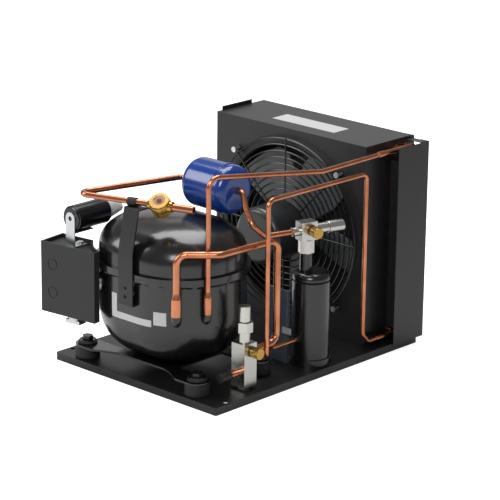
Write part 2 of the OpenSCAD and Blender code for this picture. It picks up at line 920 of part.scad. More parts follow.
module cable_clamp() {
    color("#8f9396") in_box() translate([clamp_back_in, clamp_side_in, -clamp_h])
        difference() {
            union() {
                translate([0, 0, clamp_bar_h]) cylinder(r = clamp_r, h = clamp_h - clamp_bar_h);
                translate([-clamp_bar_w/2, -clamp_r - clamp_bar_over, 0])
                    cube([clamp_bar_w, 2*(clamp_r + clamp_bar_over), clamp_bar_h]);
            }
            translate([0, 0, -cut]) cylinder(r = clamp_bore_r, h = clamp_h + 2*cut);
        }
}

module at_capacitor() {
    on_base() translate([capacitor_x, capacitor_y, capacitor_z]) rotate([0, 90, 0]) children();
}

module start_capacitor() {
    color("#161618") at_capacitor() {
        cylinder(r = capacitor_d/2 - capacitor_rim, h = capacitor_rim);
        translate([0, 0, capacitor_rim]) cylinder(d = capacitor_d, h = capacitor_l - capacitor_rim);
    }
}

module strap_screw_place() {
    translate([capacitor_x + strap_foot_l - strap_hole_r - screw_head_r, capacitor_y,
        box_top_z + strap_t]) rotate([180, 0, 0]) children();
}

// Zinc strap: foot on the box, upright with a hole, and a cradle under the capacitor
module capacitor_strap() {
    tab_z = capacitor_z + strap_top_over - strap_w/2;
    color("#c3c6c9") on_base() difference() {
        union() {
            translate([capacitor_x - strap_t, capacitor_y - strap_w/2, box_top_z])
                cube([strap_t, strap_w, tab_z - box_top_z]);
            translate([capacitor_x - strap_t, capacitor_y, tab_z]) rotate([0, 90, 0])
                cylinder(d = strap_w, h = strap_t);
            translate([capacitor_x - strap_t, capacitor_y - strap_w/2, box_top_z])
                cube([strap_foot_l, strap_w, strap_t]);
            translate([capacitor_x - strap_t, capacitor_y - strap_w/2,
                capacitor_z - capacitor_d/2 - strap_t - run_gap])
                cube([strap_cradle_l, strap_w, strap_t]);
        }
        translate([capacitor_x - strap_t - cut, capacitor_y, tab_z]) rotate([0, 90, 0])
            cylinder(r = strap_hole_r, h = strap_t + 2*cut);
        strap_screw_place() translate([0, 0, -cut])
            cylinder(r = screw_r + run_gap, h = strap_t + 2*cut);
    }
}

module capacitor_boot() {
    color("#cfd2d2") at_capacitor() translate([0, 0, capacitor_l]) difference() {
        cylinder(r1 = boot_r, r2 = boot_tip_r, h = boot_l);
        translate([0, 0, -cut]) cylinder(r1 = boot_r - boot_wall, r2 = boot_tip_r - boot_wall,
            h = boot_l - boot_wall + cut);
    }
}

// Sight glass and drier

clip_at = [clip_x, clip_y, open_line_z];
open_line_dir = [sin(open_line_turn), -cos(open_line_turn), 0];
glass_at = clip_at + sight_reach*open_line_dir;
glass_dir = [-sin(sight_tilt)*cos(open_line_turn), -sin(sight_tilt)*sin(open_line_turn),
    cos(sight_tilt)];
glass_face = glass_at + sight_h/2*glass_dir;

module clip_screw_place() {
    translate([clip_x, clip_y, glass_bracket_top_z + clip_t]) rotate(open_line_turn)
        translate([clip_tab - screw_head_r - seat_gap, 0, 0]) rotate([180, 0, 0]) children();
}

module sight_glass_bracket() {
    out_x = comp_x - shell_r - lip_out - seat_gap - glass_bracket_t;
    top_x = out_x + glass_bracket_lean;
    knee = glass_bracket_t;
    color("#1a1a1c") on_base() difference() {
        translate([0, glass_bracket_y + glass_bracket_w/2, 0]) rotate([90, 0, 0])
            linear_extrude(glass_bracket_w) polygon([
                [comp_x - shell_r, glass_bracket_low_z],
                [out_x, glass_bracket_low_z],
                [out_x, glass_bracket_knee_z],
                [top_x, glass_bracket_top_z],
                [top_x + glass_flange_l, glass_bracket_top_z],
                [top_x + glass_flange_l, glass_bracket_top_z - knee],
                [top_x + knee, glass_bracket_top_z - knee],
                [out_x + knee, glass_bracket_knee_z],
                [out_x + knee, glass_bracket_low_z + knee],
                [comp_x - shell_r, glass_bracket_low_z + knee]]);
        for (i = [1, 2])
            translate([out_x - cut, glass_bracket_y, glass_bracket_low_z + i*glass_hole_pitch])
                rotate([0, 90, 0]) cylinder(r = glass_hole_r, h = knee + 2*cut);
        clip_screw_place() cylinder(r = screw_r + run_gap, h = screw_l + cut);
    }
}

module tube_clip() {
    half = clip_w/2*open_line_dir;
    color("#26272a") on_base() difference() {
        union() {
            aimed(clip_at - half, clip_at + half)
                cylinder(r = liquid_d/2 + run_gap + clip_t, h = clip_w);
            translate([clip_x, clip_y, glass_bracket_top_z]) rotate(open_line_turn)
                translate([0, -clip_w/2, 0]) cube([clip_tab, clip_w, clip_t]);
        }
        aimed(clip_at - half - cut*open_line_dir, clip_at + half)
            cylinder(r = liquid_d/2 + run_gap, h = clip_w + 2*cut);
        clip_screw_place() translate([0, 0, -cut])
            cylinder(r = screw_r + run_gap, h = clip_t + 2*cut);
    }
}

module sight_glass_body() {
    back = glass_at - sight_neck_l*open_line_dir;
    front = glass_at + sight_neck_l*open_line_dir;
    low = glass_at - sight_h/2*glass_dir;
    color("#b9914a") on_base() difference() {
        union() {
            aimed(low, glass_face) cylinder(d = sight_d, h = sight_h);
            aimed(back, front) cylinder(r = sight_neck_r, h = 2*sight_neck_l);
        }
        aimed(back - cut*open_line_dir, front)
            cylinder(r = liquid_d/2 + run_gap, h = sight_socket + cut);
        aimed(front + cut*open_line_dir, back)
            cylinder(r = open_stub_d/2 + run_gap, h = sight_socket + cut);
        aimed(back, front) cylinder(r = liquid_d/2 - tube_wall, h = 2*sight_neck_l);
        aimed(glass_face + cut*glass_dir, low)
            cylinder(r = sight_window_r + run_gap, h = sight_window_t + sight_rim + cut);
        aimed(glass_face, glass_at) cylinder(r = sight_window_r - sight_ledge, h = sight_h/2);
    }
}

module sight_glass_lens() {
    color("#a9c3a4") on_base() aimed(glass_face - sight_rim*glass_dir, glass_at)
        cylinder(r = sight_window_r, h = sight_window_t);
}

drier_outline = concat([[drier_stub_r, 0]],
    [for (a = [0:15:90]) [drier_d/2 - drier_round + drier_round*sin(a),
        drier_round - drier_round*cos(a)]],
    [[drier_d/2, drier_seam_back], [drier_d/2 + drier_seam_out, drier_seam_back],
        [drier_d/2 + drier_seam_out, drier_seam_back + drier_seam_w],
        [drier_d/2, drier_seam_back + drier_seam_w]],
    [for (a = [90:-15:0]) [drier_d/2 - drier_round + drier_round*sin(a),
        drier_l - drier_round + drier_round*cos(a)]], [[drier_stub_r, drier_l]]);

module at_drier() {
    on_base() translate([drier_x, drier_front_y, drier_z]) rotate([-90, 0, 0]) children();
}

module filter_drier() {
    color("#1c4fa0") at_drier() difference() {
        union() {
            rotate_extrude() polygon(concat([[0, 0]], drier_outline, [[0, drier_l]]));
            translate([0, 0, -drier_front_stub_l])
                cylinder(r = drier_stub_r, h = drier_front_stub_l + drier_l + drier_stub_l);
        }
        translate([0, 0, drier_round])
            cylinder(r = drier_d/2 - drier_wall, h = drier_l - 2*drier_round);
        translate([0, 0, drier_wall])
            cylinder(r = drier_d/2 - drier_round, h = drier_l - 2*drier_wall);
        translate([0, 0, -drier_front_stub_l - cut])
            cylinder(r = liquid_d/2 + run_gap,
                h = drier_front_stub_l + drier_l + drier_stub_l + 2*cut);
    }
}

module drier_core() {
    color("#d8cfb4") at_drier() translate([0, 0, drier_round + drier_core_gap])
        cylinder(r = drier_d/2 - drier_wall - drier_core_gap,
            h = drier_l - 2*(drier_round + drier_core_gap));
}

drier_back_y = drier_front_y + drier_l;

module liquid_tube() {
    far = clip_at - far_reach*open_line_dir;
    color("#c9703c") on_base() {
        bent_tube([[drier_x, drier_back_y + drier_stub_l - liquid_socket, drier_z],
            [drier_x, drier_back_y + drier_stub_l + liquid_lead, drier_z], far,
            glass_at - (sight_neck_l - sight_socket)*open_line_dir],
            liquid_d/2, liquid_d/2 - tube_wall, liquid_bend_r);
        aimed(glass_at + (sight_neck_l - sight_socket)*open_line_dir,
            clip_at + open_reach*open_line_dir)
            ring_bar(open_stub_d/2, open_stub_d/2 - tube_wall,
                open_reach - sight_reach - sight_neck_l + sight_socket);
    }
}

receiver_dir = [cos(receiver_valve_turn), sin(receiver_valve_turn), 0];
receiver_port_at = [receiver_boss_at[0], receiver_boss_at[1], receiver_port_z];

module drier_inlet_tube() {
    color("#c9703c") on_base() bent_tube([
        receiver_port_at - (valve_block[0]/2 + valve_port_l - socket_depth)*receiver_dir,
        receiver_port_at - drier_line_out*receiver_dir,
        [drier_x - drier_line_in, drier_front_y - drier_line_low, drier_z - drier_line_drop],
        [drier_x - drier_knee_in, drier_front_y - drier_knee_low, drier_z - drier_knee_drop],
        [drier_x, drier_front_y - drier_front_stub_l - liquid_lead, drier_z],
        [drier_x, drier_front_y - drier_front_stub_l + liquid_socket, drier_z]],
        liquid_d/2, liquid_d/2 - tube_wall, drier_line_bend_r);
}

// Receiver and its valve

module receiver_tank() {
    r = receiver_d/2;
    arc = receiver_round;
    crease_z = receiver_top_z - receiver_crease;
    outline = concat([[0, base_h], [r + receiver_cap_out, base_h],
        [r + receiver_cap_out, base_h + receiver_cap_h], [r, base_h + receiver_cap_h],
        [r, crease_z - receiver_crease_in], [r - receiver_crease_in, crease_z],
        [r, crease_z + receiver_crease_in/2]],
        [for (a = [0:15:90]) [r - arc + arc*cos(a), receiver_top_z - arc + arc*sin(a)]],
        [[0, receiver_top_z]]);
    boss = [-receiver_boss_back, receiver_boss_side];
    color("#1b1b1d") on_base() translate([receiver_x, receiver_in, 0]) {
        difference() {
            union() {
                rotate_extrude() polygon(outline);
                translate([boss[0], boss[1], receiver_top_z - receiver_wall])
                    cylinder(r = receiver_boss_r, h = receiver_boss_h + receiver_wall);
                translate([0, 0, inlet_z]) rotate([0, -90, 0])
                    cylinder(r = inlet_r, h = r + inlet_l);
            }
            translate([0, 0, base_h + receiver_wall])
                cylinder(r = r - receiver_crease_in - receiver_wall,
                    h = receiver_top_z - base_h - 2*receiver_wall);
            translate([boss[0], boss[1], receiver_top_z - receiver_wall - cut])
                cylinder(r = dip_r - tube_wall, h = receiver_boss_h + receiver_wall + 2*cut);
            translate([0, 0, inlet_z]) rotate([0, -90, 0])
                cylinder(r = outlet_d/2 + run_gap, h = r + inlet_l + cut);
        }
        translate([boss[0], boss[1], base_h + receiver_wall + dip_lift])
            ring_bar(dip_r, dip_r - tube_wall,
                receiver_top_z - base_h - 2*receiver_wall - dip_lift + cut);
    }
}

// Galvanised upright that faces the compressor, with an edge flange and a foot
module upright_bracket() {
    color("#8d97a0") on_base() translate([upright_x, upright_y, base_h]) {
        rotate([90, 0, 90]) linear_extrude(upright_t) polygon([[0, 0], [0, upright_h],
            [upright_w, upright_h], [upright_w, upright_taper_h], [upright_low_w, 0]]);
        cube([upright_flange, upright_t, upright_h]);
        translate([0, upright_foot_in, 0])
            cube([upright_foot, upright_low_w - upright_foot_in, upright_t]);
    }
}

module at_receiver_valve() {
    on_base() translate([receiver_boss_at[0], receiver_boss_at[1], receiver_valve_z])
        rotate(receiver_valve_turn) children();
}

module receiver_valve_nut() {
    color("#c6c8c8") on_base()
        translate([receiver_boss_at[0], receiver_boss_at[1], boss_top_z]) difference() {
            hex_bar(union_nut_flats, union_nut_h);
            translate([0, 0, -cut])
                cylinder(r = valve_neck_in_r + run_gap, h = union_nut_h + 2*cut);
        }
}

module receiver_valve_body() {
    mid = valve_block[2]/2;
    color("#c6c8c8") at_receiver_valve() difference() {
        union() {
            translate([-valve_block[0]/2, -valve_block[1]/2, 0]) cube(valve_block);
            translate([0, 0, -union_nut_h]) cylinder(r = valve_neck_in_r, h = union_nut_h + cut);
            translate([0, 0, mid]) rotate([0, -90, 0])
                cylinder(r = valve_port_r, h = valve_block[0]/2 + valve_port_l);
            translate([0, 0, mid]) rotate([0, 90, 0]) {
                cylinder(r = stem_house_r, h = valve_block[0]/2 + stem_house_l);
                cylinder(r = stem_cap_r - cap_wall - run_gap,
                    h = valve_block[0]/2 + stem_house_l + cap_nose);
            }
            translate([port_shift, 0, mid]) rotate([90, 0, 0])
                cylinder(r = port_r, h = valve_block[1]/2 + port_l);
        }
        translate([0, 0, -union_nut_h - cut]) cylinder(r = passage_r, h = union_nut_h + mid);
        translate([0, 0, mid]) rotate([0, -90, 0]) {
            cylinder(r = passage_r, h = valve_block[0]);
            translate([0, 0, valve_block[0]/2 + valve_port_l - socket_depth])
                cylinder(r = liquid_d/2 + run_gap, h = socket_depth + cut);
        }
        translate([0, 0, mid]) rotate([0, 90, 0]) cylinder(r = stem_r + run_gap,
            h = valve_block[0]/2 + stem_house_l + cap_nose + cut);
        translate([port_shift, 0, mid]) rotate([90, 0, 0])
            cylinder(r = passage_r, h = valve_block[1]/2 + port_l + cut);
    }
}

// A valve's stem with its square tip, drawn from its seat outward
module stem(l) {
    cylinder(r = stem_r, h = l);
    translate([-stem_flats/2, -stem_flats/2, l]) cube([stem_flats, stem_flats, stem_tip]);
}

// A cap that screws on to a nose, drawn from its open end outward
module cap(r, inner_r, l, top) {
    difference() {
        cylinder(r = r, h = l);
        translate([0, 0, -cut]) cylinder(r = inner_r, h = l - top + cut);
    }
}

module receiver_valve_stem() {
    color("#a9adb0") at_receiver_valve() translate([stem_start, 0, valve_block[2]/2])
        rotate([0, 90, 0]) stem(valve_block[0]/2 + stem_house_l + cap_nose - stem_start);
}

module receiver_stem_cap() {
    color("#c9cbca") at_receiver_valve()
        translate([valve_block[0]/2 + stem_house_l + seat_gap, 0, valve_block[2]/2])
            rotate([0, 90, 0]) cap(stem_cap_r, stem_cap_r - cap_wall, stem_cap_l, cap_wall);
}

module receiver_port_cap() {
    color("#c79a3e") at_receiver_valve()
        translate([port_shift, -valve_block[1]/2 - port_cap_back, valve_block[2]/2])
            rotate([90, 0, 0]) cap(port_cap_r, port_r + run_gap, port_cap_l, cap_wall);
}

// Suction service valve

module at_suction_valve(z) {
    on_base() translate([valve_setback, valve_in, z]) children();
}

module suction_valve_body() {
    low = base_h + valve_foot_h;
    color("#c4c6c6") difference() {
        union() {
            at_suction_valve(base_h) cylinder(r = valve_foot_r, h = valve_foot_h + cut);
            at_suction_valve(low) translate([-valve_side/2, -valve_side/2, 0])
                cube([valve_side, valve_side, valve_body_top_z - low]);
            at_suction_valve(valve_body_top_z)
                cylinder(r = valve_neck_r, h = valve_neck_h);
            at_suction_valve(valve_out_z) rotate([0, -90, 0])
                cylinder(d = valve_out_d, h = valve_side/2 + valve_out_l);
            at_suction_valve(suction_port_z) translate([suction_port_shift, 0, 0])
                rotate([90, 0, 0]) cylinder(r = port_r, h = valve_side/2 + port_l);
        }
        at_suction_valve(valve_out_z)
            cylinder(r = passage_r, h = valve_tube_z - valve_out_z);
        at_suction_valve(stem_low_z)
            cylinder(r = stem_r + run_gap, h = gland_z - stem_low_z + cut);
        at_suction_valve(valve_out_z) rotate([0, -90, 0])
            cylinder(r = passage_r, h = valve_side/2 + valve_out_l + cut);
        at_suction_valve(valve_tube_z) rotate([0, 90, 0]) {
            cylinder(r = passage_r, h = valve_side/2);
            translate([0, 0, valve_side/2 - socket_depth])
                cylinder(r = suction_d/2 + run_gap, h = socket_depth + cut);
        }
        at_suction_valve(suction_port_z) translate([suction_port_shift, 0, 0])
            rotate([90, 0, 0]) cylinder(r = passage_r, h = valve_side/2 + port_l + cut);
    }
}

module suction_gland_nut() {
    color("#c6c8c8") at_suction_valve(gland_z) difference() {
        union() {
            hex_bar(gland_flats, gland_h);
            cylinder(r = valve_cap_r - cap_wall - run_gap, h = gland_h + cap_nose);
        }
        translate([0, 0, -cut]) cylinder(r = stem_r + run_gap, h = gland_h + cap_nose + 2*cut);
    }
}

module suction_valve_stem() {
    color("#a9adb0") at_suction_valve(stem_low_z + seat_gap)
        stem(valve_cap_z + cap_nose - stem_low_z);
}

module suction_stem_cap() {
    color("#c9cbca") at_suction_valve(valve_cap_z + seat_gap)
        cap(valve_cap_r, valve_cap_r - cap_wall, valve_cap_l, cap_wall);
}

module suction_port_cap() {
    color("#c79a3e") at_suction_valve(suction_port_z)
        translate([suction_port_shift, -valve_side/2 - port_cap_back, 0]) rotate([90, 0, 0])
            cap(port_cap_r, port_r + run_gap, port_cap_l, cap_wall);
}

module suction_stub_cap() {
    color("#1a1a1c") at_suction_valve(valve_out_z)
        translate([plug_l - valve_side/2 - valve_out_l - plug_wall - seat_gap, 0, 0])
            rotate([0, -90, 0])
                cap(valve_out_d/2 + plug_wall, valve_out_d/2 + run_gap, plug_l, plug_wall);
}

// Copper lines

// The sleeve in which a line's end is widened over the stub that it is brazed to
module swage(at, low_z, d, out) {
    translate([at[0], at[1], low_z]) ring_bar(d/2 + out, (d - tube_wall)/2, swage_l);
}

module suction_tube() {
    color("#c9703c") on_base() {
        swage(suction_stub_at, stub_top_z, suction_d, suction_swage_out);
        bent_tube([[suction_stub_at[0], suction_stub_at[1], stub_top_z],
            [suction_stub_at[0], suction_stub_at[1], suction_top_z],
            [suction_knee_x, suction_knee_y, suction_top_z],
            [suction_drop_x, valve_in, suction_top_z],
            [suction_drop_x, valve_in, valve_tube_z],
            [valve_setback + valve_side/2 - socket_depth, valve_in, valve_tube_z]],
            suction_d/2, suction_d/2 - tube_wall, tube_bend_r);
    }
}

// A line's end that feeds both rows of the coil, swelled a little over its branches
module header(x, z, d) {
    r = d/2 + header_out;
    l = row_x[1] + r - x;
    branch_l = shroud_in - tube_out - header_y;
    difference() {
        union() {
            translate([x, header_y, z]) rotate([0, 90, 0]) cylinder(r = r, h = l);
            for (row = row_x) translate([row, header_y, z]) rotate([-90, 0, 0])
                cylinder(d = d, h = branch_l);
        }
        translate([x - cut, header_y, z]) rotate([0, 90, 0])
            cylinder(r = r - tube_wall, h = l + cut - tube_wall);
        for (row = row_x) translate([row, header_y, z]) rotate([-90, 0, 0])
            cylinder(r = d/2 - tube_wall, h = branch_l + cut);
    }
}

module discharge_tube() {
    color("#c9703c") on_base() {
        swage(discharge_stub_at, stub_top_z, discharge_d, discharge_swage_out);
        bent_tube([[discharge_stub_at[0], discharge_stub_at[1], stub_top_z],
            [discharge_stub_at[0], discharge_stub_at[1], discharge_top_z],
            [discharge_kink_x, header_y, discharge_kink_z],
            [discharge_joint_x, header_y, tube_top_z]],
            discharge_d/2, discharge_d/2 - tube_wall, tube_bend_r);
        translate([discharge_joint_x - joint_l/2, header_y, tube_top_z]) rotate([0, 90, 0])
            ring_bar(discharge_d/2 + joint_out, (discharge_d - tube_wall)/2, joint_l);
        header(discharge_joint_x, tube_top_z, discharge_d);
    }
}

module condenser_outlet_tube() {
    color("#c9703c") on_base() {
        bent_tube([[discharge_joint_x, header_y, tube_low_z],
            [outlet_riser_x + outlet_lead, header_y, tube_low_z],
            [outlet_riser_x, outlet_riser_y, tube_low_z + outlet_lead],
            [outlet_riser_x, outlet_riser_y, outlet_top_z],
            [outlet_drop_x, outlet_drop_y, outlet_top_z],
            [outlet_drop_x, outlet_drop_y, inlet_z],
            [outlet_drop_x + outlet_run, receiver_in, inlet_z],
            [receiver_x - receiver_d/2 + receiver_wall, receiver_in, inlet_z]],
            outlet_d/2, outlet_d/2 - tube_wall, outlet_bend_r);
        header(discharge_joint_x, tube_low_z, outlet_d);
    }
}

// Condenser, shroud and fan

module at_fan(x) {
    on_base() translate([x, fan_y, fan_z]) rotate([0, 90, 0]) children();
}

module fan_shroud() {
    w = shroud_y1 - shroud_in;
    color("#242527") difference() {
        union() {
            on_base() translate([shroud_x, shroud_in, base_h]) {
                cube([shroud_sheet, w, shroud_h]);
                cube([shroud_depth, w, shroud_sheet]);
                translate([0, 0, shroud_h - shroud_sheet]) cube([shroud_depth, w, shroud_sheet]);
                cube([shroud_side_l, shroud_sheet, shroud_h]);
                translate([0, w - shroud_sheet, 0]) cube([shroud_depth, shroud_sheet, shroud_h]);
                translate([shroud_lip_in, w - shroud_sheet, 0])
                    cube([shroud_lip_l, shroud_sheet, shroud_h + shroud_lip]);
            }
            at_fan(shroud_x) cylinder(r = opening_r + shroud_sheet, h = orifice_l);
        }
        at_fan(shroud_x - cut) cylinder(r = opening_r, h = orifice_l + 2*cut);
        guard_screw_places() translate([0, 0, -cut])
            cylinder(r = screw_r + run_gap, h = shroud_sheet + 2*cut);
        on_base() for (y = shroud_screw_y)
            translate([shroud_x + shroud_screw_in, y, base_h - cut])
                cylinder(r = screw_r + run_gap, h = shroud_sheet + 2*cut);
    }
}

module guard_screw_places() {
    for (i = [0:3]) at_fan(shroud_x) rotate(45 + i*90) translate([guard_foot_r, 0, 0])
        children();
}

// Square-section rings with radial wires, on feet that reach the shroud
module fan_guard() {
    color("#1e1e20") {
        for (i = [0:guard_rings - 1]) at_fan(guard_x)
            ring_bar(guard_hole_r + i*guard_pitch + wire/2, guard_hole_r + i*guard_pitch - wire/2,
                wire);
        for (i = [0:guard_spokes - 1]) at_fan(guard_x + wire/2) rotate(i*360/guard_spokes)
            translate([guard_hole_r, -wire/2, 0]) cube([guard_r - guard_hole_r, wire, wire]);
        difference() {
            for (i = [0:3]) at_fan(guard_x) rotate(45 + i*90) {
                translate([guard_r - wire/2, -guard_foot_w/2, 0])
                    cube([guard_foot_r + guard_foot_over - guard_r, guard_foot_w, wire]);
                translate([guard_foot_r - guard_foot_over, -guard_foot_w/2, 0])
                    cube([2*guard_foot_over, guard_foot_w, guard_lift]);
            }
            guard_screw_places() translate([0, 0, -guard_lift - cut])
                cylinder(r = screw_r + run_gap, h = guard_lift + 2*cut);
        }
    }
}

module fan_blades() {
    color("#55585c") at_fan(fan_x) difference() {
        union() {
            translate([0, 0, -fan_hub_l/2]) cylinder(r = fan_hub_r, h = fan_hub_l);
            intersection() {
                for (i = [0:blade_count - 1]) rotate(i*360/blade_count)
                    rotate([blade_angle, 0, 0]) translate([0, 0, -blade_t/2])
                        linear_extrude(blade_t) polygon([for (s = blade_shares)
                            [s[0]*fan_r, s[1]*blade_chord]]);
                translate([0, 0, -blade_chord/2]) cylinder(r = fan_r, h = blade_chord);
            }
        }
        translate([0, 0, -fan_hub_l]) cylinder(r = motor_shaft_r + run_gap, h = 2*fan_hub_l);
    }
}

module fan_motor() {
    r = motor_d/2;
    color("#303133") at_fan(motor_x) difference() {
        rotate_extrude() polygon(concat([[0, 0]],
            [for (a = [0:15:90]) [r - motor_round + motor_round*sin(a),
                motor_round - motor_round*cos(a)]], [[r, motor_l], [0, motor_l]]));
        translate([0, 0, motor_wall])
            cylinder(r = motor_cavity_r, h = motor_l - 2*motor_wall);
        translate([0, 0, motor_wall]) cylinder(r = motor_shaft_r + run_gap, h = motor_l);
    }
}

module fan_motor_rotor() {
    color("#b4b7ba") at_fan(motor_x + motor_wall + seat_gap) {
        cylinder(r = motor_cavity_r - rotor_gap, h = motor_l - 2*(motor_wall + seat_gap));
        cylinder(r = motor_shaft_r, h = shaft_tip_x - motor_x - motor_wall);
    }
}

module coil_bores(y, h) {
    for (x = row_x, i = [0:tube_rows - 1]) translate([x, y, tube_low_z + i*tube_pitch])
        rotate([-90, 0, 0]) cylinder(r = coil_tube_d/2 + run_gap, h = h);
}

module condenser_fins() {
    low_y = shroud_in + sheet_t;
    w = left_sheet_y - low_y;
    count = floor((w - fin_t)/fin_pitch);
    start = (w - count*fin_pitch - fin_t)/2;
    low_z = base_h + shroud_sheet + coil_margin;
    color("#8f9499") on_base() difference() {
        translate([coil_x, low_y, low_z])
            linear_extrude(shroud_z1 - shroud_sheet - coil_margin - low_z) {
                translate([fin_depth, 0]) square([coil_depth - 2*fin_depth, w]);
                for (i = [0:count]) translate([0, start + i*fin_pitch])
                    square([coil_depth, fin_t]);
            }
        coil_bores(low_y - cut, w + 2*cut);
    }
}

module condenser_tubes() {
    y0 = shroud_in - tube_out;
    y1 = left_sheet_y + sheet_t + tube_out;
    r = coil_tube_d/2;
    color("#c77a45") on_base() for (x = row_x) {
        for (i = [0:tube_rows - 1]) {
            low_y = i == 0 || i == tube_rows - 1 ? y0 : y0 - bend_lap;
            translate([x, low_y, tube_low_z + i*tube_pitch]) rotate([-90, 0, 0])
                ring_bar(r, r - tube_wall, y1 + bend_lap - low_y);
        }
        for (i = [0:tube_rows - 2])
            translate([x, i % 2 == 0 ? y1 : y0, tube_low_z + (i + 1/2)*tube_pitch])
                rotate(i % 2 == 0 ? 0 : 180) rotate([0, -90, 0]) rotate_extrude(angle = 180)
                    translate([tube_pitch/2, 0]) difference() {
                        circle(r + bend_swell);
                        circle(r - tube_wall - bend_swell);
                    }
    }
}

// Two tube sheets with turned-in edges
module condenser_end_plates() {
    low_z = base_h + shroud_sheet;
    h = shroud_z1 - shroud_sheet - low_z;
    color("#303134") on_base() difference() {
        union() {
            translate([sheet_x, shroud_in, low_z]) cube([sheet_x1 - sheet_x, sheet_t, h]);
            translate([sheet_x1 - sheet_t, shroud_in, low_z]) cube([sheet_t, sheet_flange, h]);
            translate([sheet_x, left_sheet_y, low_z])
                cube([shroud_x + shroud_depth - sheet_x, sheet_t, h]);
            translate([shroud_x + shroud_depth - sheet_t, left_sheet_y, low_z])
                cube([sheet_t, sheet_flange, h]);
        }
        coil_bores(shroud_in - cut, left_sheet_y);
    }
}

module condenser_side_cover() {
    color("#1d1e20") on_base() {
        translate([cover_x, -cover_t, cover_low_z])
            cube([cover_x1 - cover_x, cover_t, cover_top_z - cover_low_z]);
        translate([cover_x1 - cover_t, -cover_t, cover_low_z])
            cube([cover_t, cover_flange, cover_top_z - cover_low_z]);
        translate([cover_tab_x, -cover_t, cover_top_z])
            cube([cover_tab_l, shroud_in + cover_t, cover_t]);
    }
}

module screw() {
    translate([0, 0, -screw_head_h]) cylinder(r = screw_head_r, h = screw_head_h);
    cylinder(r = screw_r, h = screw_l);
}

// Screws of the strap, the clip, the guard's feet and the shroud's foot
module sheet_screws() {
    color("#aeb2b5") {
        on_base() strap_screw_place() screw();
        on_base() clip_screw_place() screw();
        guard_screw_places() translate([0, 0, -guard_lift]) guard_screw();
        on_base() for (y = shroud_screw_y)
            translate([shroud_x + shroud_screw_in, y, base_h + shroud_sheet])
                rotate([180, 0, 0]) screw();
    }
}

module guard_screw() {
    translate([0, 0, -screw_head_h]) cylinder(r = screw_head_r, h = screw_head_h);
    cylinder(r = screw_r, h = guard_lift + shroud_sheet + cut);
}

base_tray();
compressor_grommets();
grommet_sleeves();
compressor_bolts();
compressor_lower_shell();
compressor_upper_shell();
compressor_feet();
suction_stub();
discharge_stub();
stator_core();
stator_windings();
compressor_rotor();
crankshaft();
cylinder_block();
cylinder_head();
piston();
connecting_rod();
suspension_springs();
terminal_block();
electrical_box();
start_relay();
overload_protector();
cable_clamp();
start_capacitor();
capacitor_strap();
capacitor_boot();
sight_glass_bracket();
tube_clip();
sight_glass_body();
sight_glass_lens();
filter_drier();
drier_core();
liquid_tube();
drier_inlet_tube();
receiver_tank();
upright_bracket();
receiver_valve_body();
receiver_valve_nut();
receiver_valve_stem();
receiver_stem_cap();
receiver_port_cap();
suction_valve_body();
suction_gland_nut();
suction_valve_stem();
suction_stem_cap();
suction_port_cap();
suction_stub_cap();
suction_tube();
discharge_tube();
condenser_outlet_tube();
fan_shroud();
fan_guard();
fan_blades();
fan_motor();
fan_motor_rotor();
condenser_fins();
condenser_tubes();
condenser_end_plates();
condenser_side_cover();
sheet_screws();
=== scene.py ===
"""Looks of the condensing unit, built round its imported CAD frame, in metres."""

import json
from math import cos, pi, radians, sin

import bpy
from mathutils import Matrix, Vector


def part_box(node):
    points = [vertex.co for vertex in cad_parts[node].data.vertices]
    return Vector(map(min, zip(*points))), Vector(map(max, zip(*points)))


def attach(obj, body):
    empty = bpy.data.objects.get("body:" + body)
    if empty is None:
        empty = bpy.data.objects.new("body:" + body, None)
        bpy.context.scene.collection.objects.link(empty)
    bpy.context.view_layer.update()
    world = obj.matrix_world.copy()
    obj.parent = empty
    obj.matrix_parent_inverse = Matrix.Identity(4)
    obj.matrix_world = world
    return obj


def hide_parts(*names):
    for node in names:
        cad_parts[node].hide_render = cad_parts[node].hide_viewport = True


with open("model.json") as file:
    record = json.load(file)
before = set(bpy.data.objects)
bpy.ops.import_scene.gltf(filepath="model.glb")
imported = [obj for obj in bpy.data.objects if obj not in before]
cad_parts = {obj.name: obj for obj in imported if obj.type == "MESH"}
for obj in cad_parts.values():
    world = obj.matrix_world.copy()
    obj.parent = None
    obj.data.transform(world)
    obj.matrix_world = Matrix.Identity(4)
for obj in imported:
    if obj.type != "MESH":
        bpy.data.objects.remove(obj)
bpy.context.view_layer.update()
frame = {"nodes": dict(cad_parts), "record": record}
nodes = frame["nodes"]

MM = 0.001

# Camera, as the photograph was taken
camera_azimuth = radians(-47.0)
camera_height_angle = radians(17.34)
camera_roll = radians(0.75)
camera_place = Vector((-2.2516, -2.1186, 1.1093))
camera_lens = 172.86
sensor_width = 36.0
camera_reach = 20


def set_camera():
    """A long lens from the photograph's side, rolled a little as the photograph is."""
    back = Vector((sin(camera_azimuth)*cos(camera_height_angle),
                   -cos(camera_azimuth)*cos(camera_height_angle), sin(camera_height_angle)))
    level = (-back).cross(Vector((0, 0, 1))).normalized()
    lift = level.cross(-back)
    right = cos(camera_roll)*level + sin(camera_roll)*lift
    up = -sin(camera_roll)*level + cos(camera_roll)*lift
    data = bpy.data.cameras.new("photo_camera")
    data.lens = camera_lens
    data.sensor_width = sensor_width
    data.clip_end = camera_reach
    camera = bpy.data.objects.new("photo_camera", data)
    bpy.context.scene.collection.objects.link(camera)
    turn = Matrix((right, up, back)).transposed().to_4x4()
    camera.matrix_world = Matrix.Translation(camera_place) @ turn
    bpy.context.scene.camera = camera


# Studio: pale floor and backdrop that the camera and see-through pieces show as white
white = "#ffffff"
world_light = 0.25
floor_size = 12
floor_glow = 0.62
